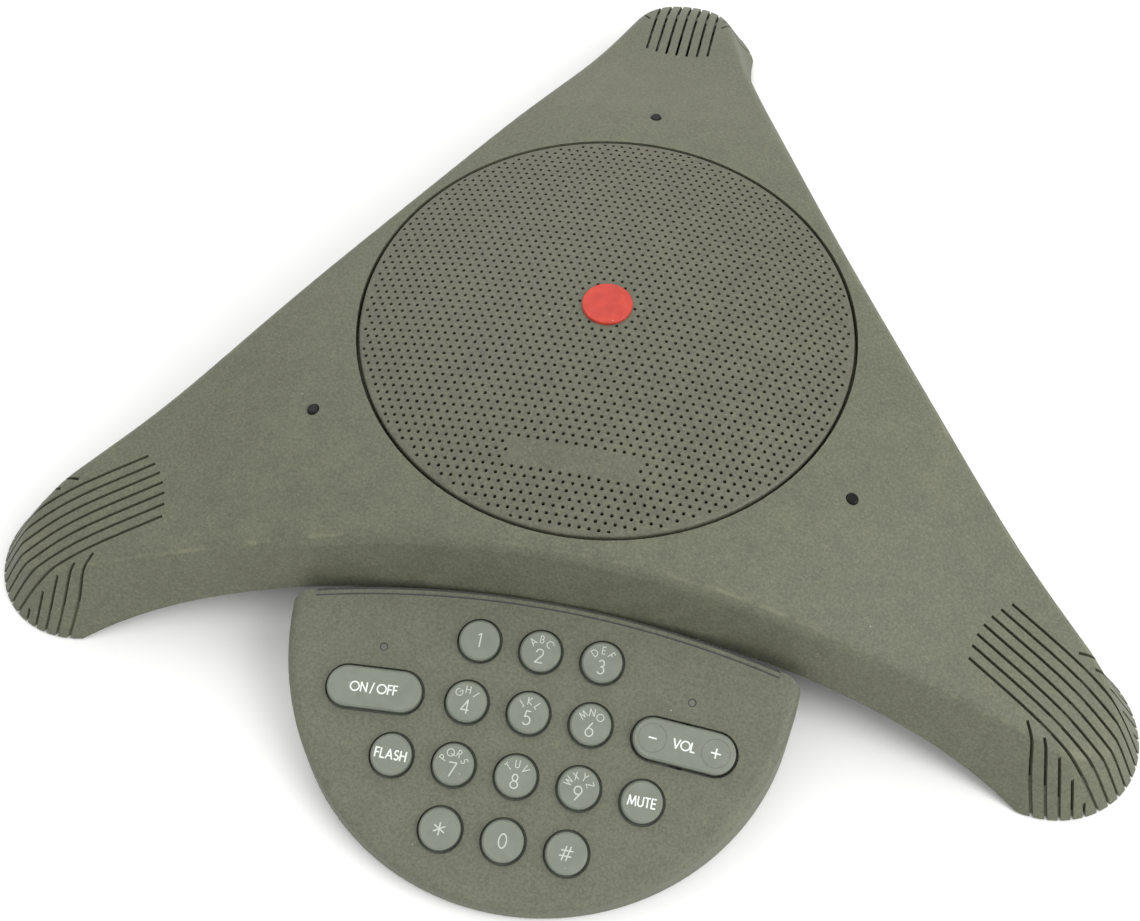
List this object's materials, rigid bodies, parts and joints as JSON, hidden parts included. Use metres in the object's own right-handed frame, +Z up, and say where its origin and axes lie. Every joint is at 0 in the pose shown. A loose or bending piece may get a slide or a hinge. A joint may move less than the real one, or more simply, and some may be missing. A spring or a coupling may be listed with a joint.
{
  "type": "conference speakerphone",
  "caption": "Three-legged desk conference speakerphone with a domed perforated loudspeaker grille, a slotted microphone tip on each leg and a sloping dial pad.",
  "frame": {"origin": "on the desk, under the middle of the whole object's box", "axes": "+Z up; +Y towards the rear leg, away from the user; +X to the user's right"},
  "size_m": [0.3736, 0.392, 0.0645],
  "materials": {
    "housing_plastic": "fine matte texture",
    "base_plastic": "matte",
    "grille_plastic": "satin, perforated",
    "grille_fabric": "open black cloth",
    "badge_red": "satin red",
    "key_plastic": "satin",
    "foot_rubber": "matte black",
    "black_rubber": "matte black",
    "membrane_rubber": "translucent grey",
    "frame_steel": "black paint",
    "screw_steel": "zinc plated",
    "cone_paper": "pressed paper",
    "copper_coil": "enamelled winding",
    "magnet_ferrite": "ground ferrite",
    "circuit_board": "green solder mask",
    "chip_black": "moulded",
    "capacitor_can": "sleeved",
    "transformer_core": "varnished",
    "lamp_clear": "clear moulding",
    "lead_black": "sheathed wire",
    "jack_black": "moulded",
    "contact_brass": "gold plated",
    "microphone_can": "satin",
    "ribbon_grey": "flat cable"
  },
  "bodies": {
    "console": {"top_housing": "housing_plastic", "base_pan": "base_plastic", "housing_screws": "screw_steel", "speaker_grille": "grille_plastic", "grille_cloth": "grille_fabric", "badge": "badge_red", "speaker_frame": "frame_steel", "speaker_gasket": "black_rubber", "speaker_cone": "cone_paper", "speaker_surround": "black_rubber", "speaker_dust_cap": "cone_paper", "speaker_voice_coil": "copper_coil", "speaker_magnet": "magnet_ferrite", "speaker_screws": "screw_steel", "main_circuit_board": "circuit_board", "board_screws": "screw_steel", "processor_chips": "chip_black", "capacitors": "capacitor_can", "line_transformer": "transformer_core", "status_leds": "lamp_clear", "microphone_boots": "black_rubber", "microphone_leads": "lead_black", "line_jack": "jack_black", "line_jack_contacts": "contact_brass", "rubber_foot_rear": "foot_rubber", "rubber_foot_left": "foot_rubber", "rubber_foot_right": "foot_rubber", "light_pipe_rear": "lamp_clear", "light_pipe_left": "lamp_clear", "light_pipe_right": "lamp_clear", "microphone_rear": "microphone_can", "microphone_left": "microphone_can", "microphone_right": "microphone_can", "keypad_housing": "housing_plastic", "keypad_base": "base_plastic", "keypad_screws": "screw_steel", "keypad_feet": "foot_rubber", "keypad_membrane": "membrane_rubber", "keypad_circuit_board": "circuit_board", "keypad_leds": "lamp_clear", "keypad_light_pipes": "lamp_clear", "keypad_ribbon_cable": "ribbon_grey", "volume_rocker_pin": "screw_steel"},
    "key_1": {"key_1": "key_plastic"},
    "key_2": {"key_2": "key_plastic"},
    "key_3": {"key_3": "key_plastic"},
    "key_4": {"key_4": "key_plastic"},
    "key_5": {"key_5": "key_plastic"},
    "key_6": {"key_6": "key_plastic"},
    "key_7": {"key_7": "key_plastic"},
    "key_8": {"key_8": "key_plastic"},
    "key_9": {"key_9": "key_plastic"},
    "key_star": {"key_star": "key_plastic"},
    "key_0": {"key_0": "key_plastic"},
    "key_hash": {"key_hash": "key_plastic"},
    "key_flash": {"key_flash": "key_plastic"},
    "key_mute": {"key_mute": "key_plastic"},
    "key_on_off": {"key_on_off": "key_plastic"},
    "volume_rocker": {"volume_rocker": "key_plastic"}
  },
  "joints": [
    {"name": "key_1_press", "type": "slide", "parent": "console", "child": "key_1", "axis": [0, 0.2588, -0.9659], "range_m": [0, 0.001], "stiffness_N_per_m": 500, "springref_m": -0.0005},
    {"name": "key_2_press", "type": "slide", "parent": "console", "child": "key_2", "axis": [0, 0.2588, -0.9659], "range_m": [0, 0.001], "stiffness_N_per_m": 500, "springref_m": -0.0005},
    {"name": "key_3_press", "type": "slide", "parent": "console", "child": "key_3", "axis": [0, 0.2588, -0.9659], "range_m": [0, 0.001], "stiffness_N_per_m": 500, "springref_m": -0.0005},
    {"name": "key_4_press", "type": "slide", "parent": "console", "child": "key_4", "axis": [0, 0.2588, -0.9659], "range_m": [0, 0.001], "stiffness_N_per_m": 500, "springref_m": -0.0005},
    {"name": "key_5_press", "type": "slide", "parent": "console", "child": "key_5", "axis": [0, 0.2588, -0.9659], "range_m": [0, 0.001], "stiffness_N_per_m": 500, "springref_m": -0.0005},
    {"name": "key_6_press", "type": "slide", "parent": "console", "child": "key_6", "axis": [0, 0.2588, -0.9659], "range_m": [0, 0.001], "stiffness_N_per_m": 500, "springref_m": -0.0005},
    {"name": "key_7_press", "type": "slide", "parent": "console", "child": "key_7", "axis": [0, 0.2588, -0.9659], "range_m": [0, 0.001], "stiffness_N_per_m": 500, "springref_m": -0.0005},
    {"name": "key_8_press", "type": "slide", "parent": "console", "child": "key_8", "axis": [0, 0.2588, -0.9659], "range_m": [0, 0.001], "stiffness_N_per_m": 500, "springref_m": -0.0005},
    {"name": "key_9_press", "type": "slide", "parent": "console", "child": "key_9", "axis": [0, 0.2588, -0.9659], "range_m": [0, 0.001], "stiffness_N_per_m": 500, "springref_m": -0.0005},
    {"name": "key_star_press", "type": "slide", "parent": "console", "child": "key_star", "axis": [0, 0.2588, -0.9659], "range_m": [0, 0.001], "stiffness_N_per_m": 500, "springref_m": -0.0005},
    {"name": "key_0_press", "type": "slide", "parent": "console", "child": "key_0", "axis": [0, 0.2588, -0.9659], "range_m": [0, 0.001], "stiffness_N_per_m": 500, "springref_m": -0.0005},
    {"name": "key_hash_press", "type": "slide", "parent": "console", "child": "key_hash", "axis": [0, 0.2588, -0.9659], "range_m": [0, 0.001], "stiffness_N_per_m": 500, "springref_m": -0.0005},
    {"name": "key_flash_press", "type": "slide", "parent": "console", "child": "key_flash", "axis": [0, 0.2588, -0.9659], "range_m": [0, 0.001], "stiffness_N_per_m": 500, "springref_m": -0.0005},
    {"name": "key_mute_press", "type": "slide", "parent": "console", "child": "key_mute", "axis": [0, 0.2588, -0.9659], "range_m": [0, 0.001], "stiffness_N_per_m": 500, "springref_m": -0.0005},
    {"name": "key_on_off_press", "type": "slide", "parent": "console", "child": "key_on_off", "axis": [0, 0.2588, -0.9659], "range_m": [0, 0.001], "stiffness_N_per_m": 500, "springref_m": -0.0005},
    {"name": "volume_rocker_tilt", "type": "hinge", "parent": "console", "child": "volume_rocker", "pos_m": [0.0476, -0.14114, 0.01816], "axis": [0.061, 0.9641, 0.2583], "range_deg": [-3, 3], "stiffness_Nm_per_rad": 0.02}
  ]
}
